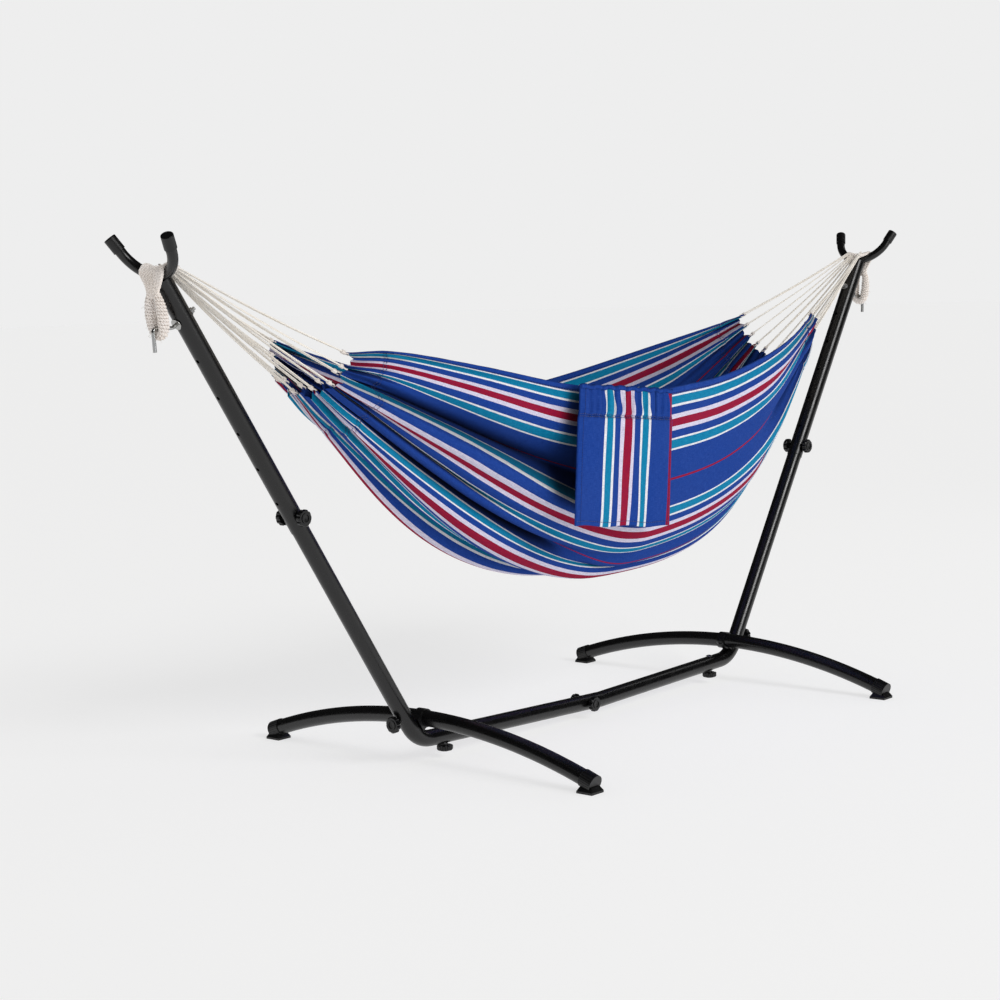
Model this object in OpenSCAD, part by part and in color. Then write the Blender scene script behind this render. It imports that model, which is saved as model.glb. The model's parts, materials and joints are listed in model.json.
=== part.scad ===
// Hammock on a tubular steel stand. Units are millimetres.
// X runs along the hammock, Y across it, Z up. The origin is on the floor, midway between the two ends.
// The near side, where the pocket hangs, is -Y.

/* [Tubes] */
// Outer diameter of the spine, elbow and lower arm tubes
tube_d = 40; // [36:0.5:42]
// Wall of those tubes
tube_wall = 1.5; // [1.2:0.1:2]
// Wall of the upper arm sleeve
sleeve_wall = 1.2; // [1:0.1:1.6]
// Radial gap where one tube slides into another
slide_gap = 0.1; // [0.05:0.05:0.2]
// Outer diameter of the foot bars
leg_d = 38; // [34:0.5:40]

/* [Stand layout] */
// Half distance between the elbow seams
seam_x = 574; // [520:1:620]
// Height of the tube axis at the elbow seams
seam_z = 57; // [52:1:64]
// Distance from the centre to the spine's middle seam
mid_x = 51; // [40:1:70]
// Height of the tube axis at the middle seam, a little lower than at the ends
mid_z = 39; // [36:1:50]
// Half distance between the points where the arm axes meet the spine's level
arm_foot_x = 635; // [620:1:660]
// Lean of each arm from upright
arm_lean = 33; // [30:0.5:36]
// Radius of the elbow bend, on the axis
elbow_r = 84; // [80:1:90]
// Distance along the arm to the sleeve's lower end
sleeve_from = 640; // [600:1:680]
// Distance along the arm to the crotch of the fork
crotch_at = 1305; // [1280:1:1340]

/* [Hook holes] */
// Holes for the hook in each sleeve
hole_count = 6; // [4:1:6]
// Distance between neighbouring holes
hole_pitch = 94.5; // [90:0.5:96]
// Distance from the top hole to the crotch
hole_drop = 106; // [100:1:110]
// Bolt diameter
bolt_d = 8; // [7:0.5:8]
// Hole diameter
hole_d = 8.6; // [8.4:0.1:9]

/* [Fork] */
// Diameter of the fork bar
fork_d = 23; // [20:0.5:24]
// Radius of the fork's bend, on the axis
fork_r = 82; // [78:1:88]
// Angle that each prong turns through
fork_turn = 72; // [66:1:76]
// Straight length at the end of each prong
prong_len = 36; // [34:1:44]

/* [Foot bars] */
// Half distance between the two foot bars
leg_x = 615; // [614:0.5:616]
// Height of the foot bar's axis at its top
leg_top_z = 110; // [109:0.5:111]
// Radius of the foot bar's arch
leg_arc_r = 1520; // [1500:5:1540]
// Half length of the foot bar, across
leg_half = 508; // [500:1:512]

/* [Knobs] */
// Radius over the lobes
knob_r = 19.5; // [18:0.5:20]
// Lobes on each knob
knob_lobes = 10; // [6:1:12]
// Thickness of the knob's head
knob_head = 12; // [10:0.5:14]

/* [Hammock] */
// Half length of the cloth bed between its end hems, at the selvages
bed_half = 930; // [900:5:940]
// Height of the bed's lowest line at its lowest point
bed_low_z = 364; // [340:2:420]
// Half width between the selvages, at the middle
bed_half_w = 263; // [230:1:280]
// Height of the selvages at the middle
selvage_z = 839; // [820:1:860]
// Thickness of the bed's stand-in solid
bed_t = 8; // [6:0.5:10]
// Cords at each end
cord_count = 13; // [9:1:15]
// Diameter of a pair of cords
cord_d = 6; // [5:0.5:7]
// Height of the line that the hammock swings about
swing_z = 1166; // [1160:1:1170]

/* [Pocket] */
// Pocket width along the selvage
pocket_w = 380; // [300:5:400]
// Pocket height
pocket_h = 330; // [280:5:360]

/* [Hidden] */
$fn = 48;

STEEL = [0.13, 0.13, 0.14];
PLASTIC = [0.07, 0.07, 0.08];
ZINC = [0.75, 0.76, 0.78];
ROPE = [0.93, 0.9, 0.86];
CLOTH = [0.18, 0.26, 0.6];
POCKET_CLOTH = [0.2, 0.3, 0.65];

tube_id = tube_d - 2 * tube_wall;
insert_d = tube_id - 2 * slide_gap;
sleeve_id = tube_d + 2 * slide_gap;
sleeve_d = sleeve_id + 2 * sleeve_wall;
leg_id = leg_d - 2 * tube_wall;
leg_insert_d = leg_id - 2 * slide_gap;
knob_gap = 0.4;
bend_lap = 0.4;
bend_step = 0.3;

arm_foot_z = 58.5;
insert_len = 70;
mid_insert_len = 90;
mid_bolt_back = 59;
stub_bolt_x = 541;
arm_insert_to = sleeve_from + 66;
arm_bolt_at = sleeve_from + 32;
top_hole = crotch_at - hole_drop;
arm_top = crotch_at - 8;

leg_top_turn = asin(leg_half / leg_arc_r);
leg_seam_turn = asin(12 / leg_arc_r);
leg_insert_turn = 2.3;
leg_end_z = leg_top_z - leg_arc_r * (1 - cos(leg_top_turn));
collar_w = 24;
collar_d = 45;

cap_over = 28;
cap_wall = 6;
cap_d = 42;
pad_l = 44;
pad_w = 42;
pad_t = 5;

hook_up_at = 31;
hook_bend_r = 10;
hook_tip_r = 8;
hook_out_x = 1368;
hook_tip_len = 40;
eye_r = 10;
eye_gap_r = 14.6;
eye_x = 1352;
face_x = 1312;

// ---- points and directions in the upright plane of an arm, as [x, z] ----
function arm_dir() = [sin(arm_lean), cos(arm_lean)];
function out_dir() = [cos(arm_lean), -sin(arm_lean)];
function arm_point(along, off = 0) =
    [arm_foot_x, arm_foot_z] + along * arm_dir() + off * out_dir();
function spine_slope(s) = (seam_z - mid_z) / (seam_x - s * mid_x);
function spine_point(s, x) = [x, seam_z + (x - seam_x) * spine_slope(s)];
function hook_z() = arm_point(top_hole, hook_up_at)[1] - hook_bend_r * (1 - cos(arm_lean));

// the corner where the spine's axis meets the arm's axis, as [x, z]
function corner(s) =
    let (m = spine_slope(s), k = tan(arm_lean),
         z = (seam_z + m * (arm_foot_x - seam_x - arm_foot_z * k)) / (1 - m * k))
    [arm_foot_x + (z - arm_foot_z) * k, z];

// ---- building blocks ----
// everything is drawn for the right end; s = -1 mirrors it to the left end
module end_of(s) { mirror([s < 0 ? 1 : 0, 0, 0]) children(); }

// stands its children, drawn along +Z, on the [x, z] point p, pointing along direction d
module aim(p, d) {
    translate([p[0], 0, p[1]]) rotate([0, atan2(d[0], d[1]), 0]) children();
}

// a straight rod between two [x, z] points
module rod(p, q, d) {
    aim(p, q - p) cylinder(d = d, h = norm(q - p));
}

// a bent rod that starts at the origin along +X; each leg is [length, turn, bend radius]
module bent_rod(legs, d, i = 0) {
    if (i < len(legs)) {
        run = legs[i][0];
        turn = legs[i][1];
        r = legs[i][2];
        way = turn < 0 ? -1 : 1;
        lap = turn == 0 ? 0 : bend_lap;
        translate([i == 0 ? 0 : -bend_lap, 0, 0]) rotate([0, 90, 0])
            cylinder(d = d, h = run + lap + (i == 0 ? 0 : bend_lap));
        if (turn != 0) translate([run, way * r, 0]) {
            rotate([0, 0, way > 0 ? -90 : 90 + turn])
                rotate_extrude(angle = abs(turn), $fn = 96) translate([r, 0]) circle(d = d - bend_step);
            rotate([0, 0, turn]) translate([0, -way * r, 0]) bent_rod(legs, d, i + 1);
        }
    }
}

// a hole along Y through the [x, z] point p
module hole_y(p, d = hole_d) {
    translate([p[0], 0, p[1]]) rotate([90, 0, 0]) cylinder(d = d, h = 3 * tube_d, center = true);
}

// a hole at right angles to the arm, in its upright plane
module hole_out(along, d = hole_d) {
    aim(arm_point(along), out_dir()) cylinder(d = d, h = 3 * tube_d, center = true);
}

// a foot bar's arch between two turns from its top, seen along X
module arch(from, to, d) {
    translate([leg_x, 0, leg_top_z - leg_arc_r]) rotate([0, -90, 0]) rotate([0, 0, from])
        rotate_extrude(angle = to - from, $fn = 256) translate([leg_arc_r, 0]) circle(d = d, $fn = 48);
}

// the foot bar's bolt hole, along X
module foot_hole(d = hole_d) {
    translate([leg_x, 0, leg_top_z]) rotate([0, 90, 0]) cylinder(d = d, h = 260, center = true);
}

// ---- spine ----
// lap runs a tube on past the middle seam, where past_seam then cuts it off
module spine_run(s, d, grow = 0, lap = 0) {
    a = spine_point(s, s * mid_x);
    b = spine_point(s, seam_x);
    u = (b - a) / norm(b - a);
    rod(a - (grow + lap) * u, b + grow * u, d);
}

// the two tubes meet at a slight angle, so both ends are cut to the upright plane of the seam
module past_seam(way) {
    translate([mid_x + way * 50, 0, mid_z]) cube(100, center = true);
}

module stub_hole() { translate([stub_bolt_x, 0, 0]) cylinder(d = hole_d, h = 120); }

function mid_bolt_point() =
    let (p = spine_point(-1, -(mid_x - mid_bolt_back))) [-p[0], p[1]];

module spine_tube_left() color(STEEL) difference() {
    end_of(-1) spine_run(-1, tube_d, 0, 1);
    end_of(-1) spine_run(-1, tube_id, 1, 1);
    past_seam(1);
    end_of(-1) stub_hole();
    hole_y(mid_bolt_point());
}

// the reduced end that slides into the left tube lies on the left tube's axis
module mid_insert(d, grow = 0) {
    a = spine_point(-1, -mid_x);
    b = spine_point(-1, mid_insert_len - mid_x);
    u = (b - a) / norm(b - a);
    end_of(-1) rod(a - (1.5 + 3 * grow) * u, b + grow * u, d);
}

module spine_tube_right() color(STEEL) difference() {
    union() {
        difference() {
            spine_run(1, tube_d, 0, 1);
            past_seam(-1);
        }
        mid_insert(insert_d);
    }
    rod(spine_point(1, mid_x + 3), spine_point(1, seam_x + 1), tube_id);
    mid_insert(insert_d - 2 * tube_wall, 1);
    stub_hole();
    hole_y(mid_bolt_point());
}

module spine_bolt() color(ZINC) bolt_y(mid_bolt_point(), tube_d / 2);
module spine_knob(way) knob_y(mid_bolt_point(), tube_d / 2, way);

// ---- arms ----
// elbow and lower arm as one bent rod, from the spine seam to a distance along the arm
module lower_arm_solid(s, d, from_x, to) {
    c = corner(s);
    tilt = atan(spine_slope(s));
    bend = 90 - arm_lean - tilt;
    setback = elbow_r * tan(bend / 2);
    start = spine_point(s, from_x);
    run = norm(c - start) - setback;
    rise = norm(arm_point(to) - c) - setback;
    translate([start[0], 0, start[1]]) rotate([90, 0, 0]) rotate([0, 0, tilt])
        bent_rod([[run, bend, elbow_r], [rise, 0, 0]], d);
}

module lower_arm(s) color(STEEL) end_of(s) difference() {
    union() {
        lower_arm_solid(s, tube_d, seam_x, arm_insert_to);
        rod(spine_point(s, seam_x - insert_len), spine_point(s, seam_x + 2), insert_d);
    }
    lower_arm_solid(s, tube_id, seam_x + 2, arm_insert_to + 1);
    rod(spine_point(s, seam_x - insert_len - 1), spine_point(s, seam_x + 2.5), insert_d - 2 * tube_wall);
    stub_hole();
    foot_hole();
    hole_y(arm_point(arm_bolt_at));
}

module upper_arm(s) color(STEEL) end_of(s) difference() {
    rod(arm_point(sleeve_from), arm_point(arm_top), sleeve_d);
    rod(arm_point(sleeve_from - 1), arm_point(arm_top + 1), sleeve_id);
    fork_solid(fork_d + 0.1);
    hole_y(arm_point(arm_bolt_at));
    for (i = [0:hole_count - 1]) hole_out(top_hole - i * hole_pitch);
}

// ---- fork ----
// the fork's arc is centred above the crotch, in the plane of the arm and Y
module in_fork_plane() {
    aim(arm_point(crotch_at + fork_r), arm_dir()) rotate([0, 90, 0]) children();
}

module fork_solid(d) {
    in_fork_plane() {
        rotate([0, 0, -fork_turn]) rotate_extrude(angle = 2 * fork_turn, $fn = 96)
            translate([fork_r, 0]) circle(d = d - bend_step);
        for (w = [-1, 1]) rotate([0, 0, w * fork_turn]) translate([fork_r, 0, 0])
            rotate([-90 * w, 0, 0]) translate([0, 0, -bend_lap]) cylinder(d = d, h = prong_len + bend_lap);
    }
}

module fork(s) color(STEEL) end_of(s) difference() {
    fork_solid(fork_d);
    fork_solid(fork_d - 5);
    in_fork_plane() for (w = [-1, 1]) rotate([0, 0, w * fork_turn]) translate([fork_r, 0, 0])
        rotate([-90 * w, 0, 0]) translate([0, 0, prong_len - 1]) cylinder(d = fork_d - 5, h = 3);
}

// cup profile: a closed round end of radius r and rounding e, over a bar of diameter d
module cup_profile(r, e, d, length, wall) {
    difference() {
        union() {
            square([r - e, length]);
            square([r, length - e]);
            translate([r - e, length - e]) circle(r = e);
        }
        translate([-1, -1]) square([d / 2 + 0.05 + 1, length - wall + 1]);
        translate([-r, -1]) square([r, length + 2]);
    }
}

module prong_cap(s, way) color(PLASTIC) end_of(s) in_fork_plane()
    rotate([0, 0, way * fork_turn]) translate([fork_r, 0, 0]) rotate([-90 * way, 0, 0])
        translate([0, 0, prong_len - 30]) rotate_extrude() cup_profile(13.5, 2, fork_d, 33, 2.9);

// ---- foot bars ----
module foot_bar_front(s) color(STEEL) end_of(s) difference() {
    arch(-leg_top_turn, leg_seam_turn, leg_d);
    arch(-leg_top_turn - 0.1, leg_seam_turn + 0.1, leg_id);
    foot_hole();
}

module foot_bar_back(s) color(STEEL) end_of(s) difference() {
    union() {
        arch(leg_seam_turn, leg_top_turn, leg_d);
        arch(leg_seam_turn - leg_insert_turn, leg_seam_turn + 0.1, leg_insert_d);
    }
    arch(leg_seam_turn + 0.1, leg_top_turn + 0.1, leg_id);
    arch(leg_seam_turn - leg_insert_turn - 0.1, leg_seam_turn + 0.2, leg_insert_d - 2 * tube_wall);
    foot_hole();
}

// a ring round the foot bar's joint, with a block that fills the elbow's inside corner
module foot_collar(s) color(PLASTIC) end_of(s) difference() {
    union() {
        translate([leg_x, 0, leg_top_z]) rotate([90, 0, 0])
            cylinder(d = collar_d, h = collar_w, center = true);
        aim([leg_x, leg_top_z], out_dir()) translate([-20, -15, 6]) cube([36, 30, 20]);
    }
    arch(-2, 2, leg_d + 0.2);
    lower_arm_solid(s, tube_d + 0.2, seam_x, 300);
    foot_hole();
}

module foot_cap(s, way) {
    color(PLASTIC) end_of(s) mirror([0, way > 0 ? 1 : 0, 0]) difference() {
        union() {
            at_bar_end() cap_body();
            hull() {
                pad_slab(pad_l, pad_w, 0, pad_t);
                pad_slab(pad_l - 12, pad_w - 12, 14, 1);
            }
        }
        arch(-leg_top_turn, 0, leg_d + 0.1);
        at_bar_end() translate([0, 0, -1]) cylinder(d = leg_d - 6, h = 4);
    }
}

module pad_slab(l, w, z, t) {
    translate([leg_x - w / 2, -leg_half + 16 - l / 2 - 6, z]) cube([w, l, t]);
}

// the open end of the -Y half of the bar, with +Z along the bar and out of it
module at_bar_end() {
    translate([leg_x, -leg_half, leg_end_z]) rotate([90 + leg_top_turn, 0, 0]) children();
}

module cap_body() {
    difference() {
        translate([0, 0, -cap_over]) cylinder(d = cap_d, h = cap_over + cap_wall);
        for (i = [0:23]) rotate([0, 0, i * 15]) translate([cap_d / 2 + 0.9, 0, -cap_over - 1])
            cylinder(r = 1.7, h = cap_over + cap_wall - 1, $fn = 24);
    }
}

// ---- knobs and bolts ----
// a lobed knob on its hub, along +Z, with a blind hole for the bolt's end
module knob(hub) color(PLASTIC) difference() {
    rotate_extrude() polygon([
        [bolt_d / 2 + 0.08, 0], [8.5, 0], [8.5, hub], [knob_r - 1.5, hub], [knob_r, hub + 1.5],
        [knob_r, hub + knob_head - 2.5], [knob_r - 2.5, hub + knob_head], [11.5, hub + knob_head],
        [11.5, hub + knob_head + 1.6], [8.5, hub + knob_head + 1.6], [8.5, hub + knob_head - 0.6],
        [0, hub + knob_head - 1.4], [0, hub + 7], [bolt_d / 2 + 0.08, hub + 7]]);
    for (i = [0:knob_lobes - 1]) rotate([0, 0, (i + 0.5) * 360 / knob_lobes])
        translate([knob_r + scallop_r - 3, 0, hub - 1]) cylinder(r = scallop_r, h = knob_head + 2);
}

scallop_r = 4;
hub_len = 5;

module knob_y(p, r, way) {
    translate([p[0], 0, p[1]]) rotate([90 * way, 0, 0]) translate([0, 0, r + knob_gap]) knob(hub_len);
}

module bolt_y(p, r) {
    translate([p[0], 0, p[1]]) rotate([90, 0, 0])
        cylinder(d = bolt_d, h = 2 * (r + knob_gap + hub_len + 5), center = true);
}

module arm_bolt(s) color(ZINC) end_of(s) bolt_y(arm_point(arm_bolt_at), sleeve_d / 2);
module arm_knob(s, way) end_of(s) knob_y(arm_point(arm_bolt_at), sleeve_d / 2, way);

function stub_z(s) = spine_point(s, stub_bolt_x)[1];

module stub_bolt(s) color(ZINC) end_of(s) translate([stub_bolt_x, 0, stub_z(s)]) {
    translate([0, 0, -tube_d / 2 - knob_gap - hub_len - 5]) cylinder(d = bolt_d, h = tube_d + hub_len + 6);
    translate([0, 0, tube_d / 2 + 0.6]) intersection() {
        cylinder(r = 9, h = 4);
        translate([0, 0, -10]) sphere(r = 13.5);
    }
}

module stub_knob(s) end_of(s) translate([stub_bolt_x, 0, stub_z(s) - tube_d / 2 - knob_gap - 0.6])
    rotate([180, 0, 0]) knob(4);

foot_hub = 9;
foot_knob_x = arm_point((leg_top_z - arm_foot_z) / cos(arm_lean))[0] + tube_d / 2 / cos(arm_lean) + 6;
foot_nut_x = leg_x - collar_d / 2 - 0.3;

module foot_knob(s) end_of(s) translate([foot_knob_x, 0, leg_top_z]) rotate([0, 90, 0]) knob(foot_hub);

module foot_bolt(s) color(ZINC) end_of(s) translate([foot_nut_x - 3.5, 0, leg_top_z]) rotate([0, 90, 0])
    cylinder(d = bolt_d, h = foot_knob_x + foot_hub + 5 - foot_nut_x + 3.5);

module foot_nut(s) color(PLASTIC) end_of(s) translate([foot_nut_x, 0, leg_top_z]) rotate([0, -90, 0])
    difference() {
        union() {
            cylinder(r = 9, h = 1.6);
            intersection() {
                cylinder(r = 9, h = 8);
                translate([0, 0, -6]) sphere(r = 12.5);
            }
        }
        translate([0, 0, -1]) cylinder(d = bolt_d + 0.1, h = 5);
    }

// ---- hooks ----
// shank through the top hole, a bend to level, a level run and a tip that points down
module hook(s) color(ZINC) end_of(s) {
    start = arm_point(top_hole, -37);
    bend = arm_point(top_hole, hook_up_at);
    level = hook_out_x - bend[0] - hook_bend_r * sin(arm_lean) - hook_tip_r;
    translate([start[0], 0, start[1]]) rotate([90, 0, 0]) rotate([0, 0, -arm_lean]) bent_rod([
        [37 + hook_up_at, arm_lean, hook_bend_r],
        [level, -93, hook_tip_r],
        [hook_tip_len, 0, 0]], bolt_d);
}

module hook_washer(s) color(ZINC) end_of(s) aim(arm_point(top_hole, sleeve_d / 2 + 0.1), out_dir())
    difference() {
        cylinder(r = 12.5, h = 2);
        translate([0, 0, -1]) cylinder(d = bolt_d + 0.2, h = 4);
    }

module hook_nut(s) color(ZINC) end_of(s) aim(arm_point(top_hole, -sleeve_d / 2 - 0.1), -out_dir())
    difference() {
        union() {
            cylinder(r = 9, h = 1.6);
            cylinder(r = 7.5, h = 8.5, $fn = 6);
        }
        translate([0, 0, -1]) cylinder(d = bolt_d + 0.1, h = 12);
    }

// ---- rope end: saddle over the fork, two lobes and the loop under the hook ----
module rope_eye(s) color(ROPE) end_of(s) difference() {
    union() {
        in_fork_plane() rotate([0, 0, -18]) rotate_extrude(angle = 36, $fn = 96)
            translate([fork_r, 0]) circle(d = fork_d + 20);
        for (y = [-1, 1]) translate([0, y * eye_gap_r, 0])
            rod([eye_x, hook_z() - 0.3], [eye_x + 14, 1144], 2 * eye_r);
        translate([eye_x, 0, hook_z()]) rotate([0, 90, 0]) rotate([0, 0, -90])
            rotate_extrude(angle = 180, $fn = 64) translate([eye_gap_r, 0]) circle(r = eye_r - 0.2, $fn = 48);
        translate([face_x + 2, -24, swing_z - 12]) cube([24, 48, 24]);
    }
    fork_solid(fork_d + 0.6);
    rod(arm_point(900), arm_point(arm_top + 4), sleeve_d + 0.6);
}

// ---- hammock: every number below follows from the bed's driving sizes ----
bed_low_x = 30;
bed_end_w = 142;
bed_end_z = 1005;
bed_end_low_z = 862;
hem_bow = 25;
section_power = 0.91;
bed_stations = 34;
bed_steps = 18;

function bed_x(i) = bed_half * (2 * i / bed_stations - 1);
function bed_u(x) =
    x < bed_low_x ? (bed_low_x - x) / (bed_low_x + bed_half) : (x - bed_low_x) / (bed_half - bed_low_x);
function half_w(x) = bed_half_w + (bed_end_w - bed_half_w) * pow(bed_u(x), 2.4);
function top_z(x) = selvage_z + (bed_end_z - selvage_z) * pow(bed_u(x), 1.38);
function low_z(x) =
    bed_low_z + (bed_end_low_z - bed_low_z) * pow(bed_u(x), x < bed_low_x ? 2.3 : 2.9);
function bed_point(x, v) =
    let (a = abs(v), bow = hem_bow * (1 - a * a) * pow(abs(x) / bed_half, 8))
    [x + (x < 0 ? -bow : bow), sign(v) * half_w(x) * pow(sin(90 * a), section_power),
     low_z(x) + (top_z(x) - low_z(x)) * (1 - pow(max(0, cos(90 * a)), section_power))];

// the inner skin lies one thickness inside the outer one, measured in the section's plane
function bed_inner(x, v) =
    let (p = bed_point(x, v), e = 0.02,
         q = bed_point(x, min(1, v + e)), o = bed_point(x, max(-1, v - e)),
         t = [q[1] - o[1], q[2] - o[2]], l = norm(t))
    p + bed_t * [0, -t[1] / l, t[0] / l];

module hammock_bed() color(CLOTH) {
    n = bed_steps + 1;
    ring = [for (i = [0:bed_stations]) concat(
        [for (j = [0:bed_steps]) bed_point(bed_x(i), 2 * j / bed_steps - 1)],
        [for (j = [bed_steps:-1:0]) bed_inner(bed_x(i), 2 * j / bed_steps - 1)])];
    points = [for (r = ring) each r];
    m = 2 * n;
    sides = [for (i = [0:bed_stations - 1]) for (j = [0:m - 1])
        let (a = i * m + j, b = i * m + (j + 1) % m) each [[a, b, b + m], [a, b + m, a + m]]];
    last = bed_stations * m;
    ends = [for (j = [0:bed_steps - 1]) let (k = m - 1 - j) each [
        [j, k, k - 1], [j, k - 1, j + 1],
        [last + j, last + k - 1, last + k], [last + j, last + j + 1, last + k - 1]]];
    polyhedron(points, concat(sides, ends), convexity = 6);
}

// cords fan from the swing line at the fork to the end hem
function cord_v(i) = 2 * i / (cord_count - 1) - 1;
function cord_start(i) =
    let (v = cord_v(i)) [face_x, 17 * v, swing_z - 9 + 9 * abs(v) + (i % 2 == 0 ? 3.5 : -3.5)];
function cord_end(s, i) =
    let (p = bed_point(s * bed_half, 0.96 * cord_v(i))) [abs(p[0]) + 1, p[1], p[2] + bed_t / 2];

module cords(s) color(ROPE) end_of(s) for (i = [0:cord_count - 1]) {
    a = cord_start(i);
    b = cord_end(s, i);
    d = b - a;
    translate(a) rotate([0, acos(d[2] / norm(d)), atan2(d[1], d[0])])
        cylinder(d = cord_d, h = norm(d), $fn = 24);
}

// ---- pocket: two cloth panels joined at the sides and foot, open at the top ----
pocket_from = -345;
pocket_y = -264.5;
pocket_turn = -1.96;
pocket_t = 20;
panel_t = 2;

module pocket_outline(inset, top) {
    a = pocket_from + inset;
    b = pocket_from + pocket_w - inset;
    za = top_z(pocket_from) - 2;
    zb = top_z(pocket_from + pocket_w) - 2;
    polygon([[a, za - pocket_h + inset], [b, zb - pocket_h + inset], [b, zb + top], [a, za + top]]);
}

module pocket() color(POCKET_CLOTH) translate([0, pocket_y, 0]) rotate([90, 0, pocket_turn]) difference() {
    linear_extrude(pocket_t) pocket_outline(0, 0);
    translate([0, 0, panel_t]) linear_extrude(pocket_t - 2 * panel_t) pocket_outline(4, 10);
}

spine_tube_left();
spine_tube_right();
lower_arm(-1);  // arm_lower_left
lower_arm(1);  // arm_lower_right
upper_arm(-1);  // arm_upper_left
upper_arm(1);  // arm_upper_right
fork(-1);  // fork_left
fork(1);  // fork_right
prong_cap(-1, -1);  // prong_cap_left_front
prong_cap(-1, 1);  // prong_cap_left_back
prong_cap(1, -1);  // prong_cap_right_front
prong_cap(1, 1);  // prong_cap_right_back
foot_bar_front(-1);  // foot_bar_left_front
foot_bar_back(-1);  // foot_bar_left_back
foot_bar_front(1);  // foot_bar_right_front
foot_bar_back(1);  // foot_bar_right_back
foot_collar(-1);  // foot_collar_left
foot_collar(1);  // foot_collar_right
foot_cap(-1, -1);  // foot_cap_left_front
foot_cap(-1, 1);  // foot_cap_left_back
foot_cap(1, -1);  // foot_cap_right_front
foot_cap(1, 1);  // foot_cap_right_back
arm_knob(-1, 1);  // arm_knob_left_front
arm_knob(-1, -1);  // arm_knob_left_back
arm_knob(1, 1);  // arm_knob_right_front
arm_knob(1, -1);  // arm_knob_right_back
spine_knob(1);  // spine_knob_front
spine_knob(-1);  // spine_knob_back
stub_knob(-1);  // stub_knob_left
stub_knob(1);  // stub_knob_right
foot_knob(-1);  // foot_knob_left
foot_knob(1);  // foot_knob_right
arm_bolt(-1);  // arm_bolt_left
arm_bolt(1);  // arm_bolt_right
spine_bolt();
stub_bolt(-1);  // stub_bolt_left
stub_bolt(1);  // stub_bolt_right
foot_bolt(-1);  // foot_bolt_left
foot_bolt(1);  // foot_bolt_right
foot_nut(-1);  // foot_nut_left
foot_nut(1);  // foot_nut_right
hook(-1);  // hook_left
hook(1);  // hook_right
hook_washer(-1);  // hook_washer_left
hook_washer(1);  // hook_washer_right
hook_nut(-1);  // hook_nut_left
hook_nut(1);  // hook_nut_right
rope_eye(-1);  // rope_eye_left
rope_eye(1);  // rope_eye_right
cords(-1);  // cords_left
cords(1);  // cords_right
hammock_bed();
pocket();
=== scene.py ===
"""Looks of the hammock on its stand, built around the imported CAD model. All lengths are in metres."""
import json
import math

import bpy
import numpy as np
from mathutils import Matrix, Vector


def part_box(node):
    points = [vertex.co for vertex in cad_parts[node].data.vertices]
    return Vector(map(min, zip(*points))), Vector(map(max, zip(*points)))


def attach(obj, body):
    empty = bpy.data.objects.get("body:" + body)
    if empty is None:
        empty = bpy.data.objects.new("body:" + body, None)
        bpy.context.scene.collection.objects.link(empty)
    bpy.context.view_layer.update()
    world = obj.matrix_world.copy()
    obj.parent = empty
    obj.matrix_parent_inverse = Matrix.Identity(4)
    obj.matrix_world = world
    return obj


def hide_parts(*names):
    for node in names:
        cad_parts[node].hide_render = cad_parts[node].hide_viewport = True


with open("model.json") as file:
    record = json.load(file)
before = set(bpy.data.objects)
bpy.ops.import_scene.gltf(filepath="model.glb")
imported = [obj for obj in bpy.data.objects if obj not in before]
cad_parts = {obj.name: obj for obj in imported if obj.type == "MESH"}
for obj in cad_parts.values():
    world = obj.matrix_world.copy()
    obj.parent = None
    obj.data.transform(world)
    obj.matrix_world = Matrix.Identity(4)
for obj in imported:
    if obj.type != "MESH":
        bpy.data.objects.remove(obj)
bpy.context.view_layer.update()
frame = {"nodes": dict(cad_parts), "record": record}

SIDES = {"left": -1.0, "right": 1.0}
LEAN = math.radians(33.0)
ARM_DIR = np.array([math.sin(LEAN), 0.0, math.cos(LEAN)])
OUT_DIR = np.array([math.cos(LEAN), 0.0, -math.sin(LEAN)])
ARM_FOOT = np.array([0.635, 0.0, 0.0585])


def arm_point(along, off=0.0):
    """A point of the right arm's axis, as far along and as far out as asked."""
    return ARM_FOOT + along * ARM_DIR + off * OUT_DIR


# ---------------------------------------------------------------- camera
def make_camera():
    azimuth, down, roll = math.radians(-48.855), math.radians(5.948), math.radians(-1.713)
    ahead = Vector((math.sin(-azimuth) * math.cos(down), math.cos(azimuth) * math.cos(down), -math.sin(down)))
    right = Vector((math.cos(azimuth), math.sin(azimuth), 0.0))
    up = right.cross(ahead)
    right_r = right * math.cos(roll) + up * math.sin(roll)
    up_r = up * math.cos(roll) - right * math.sin(roll)
    data = bpy.data.cameras.new("camera")
    data.sensor_width = 36.0
    data.lens = 75.2
    data.clip_end = 200.0
    cam = bpy.data.objects.new("camera", data)
    bpy.context.scene.collection.objects.link(cam)
    rows = Matrix((right_r, up_r, -ahead)).transposed().to_4x4()
    cam.matrix_world = Matrix.Translation((-4.112, -3.317, 1.1185)) @ rows
    bpy.context.scene.camera = cam


make_camera()


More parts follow.
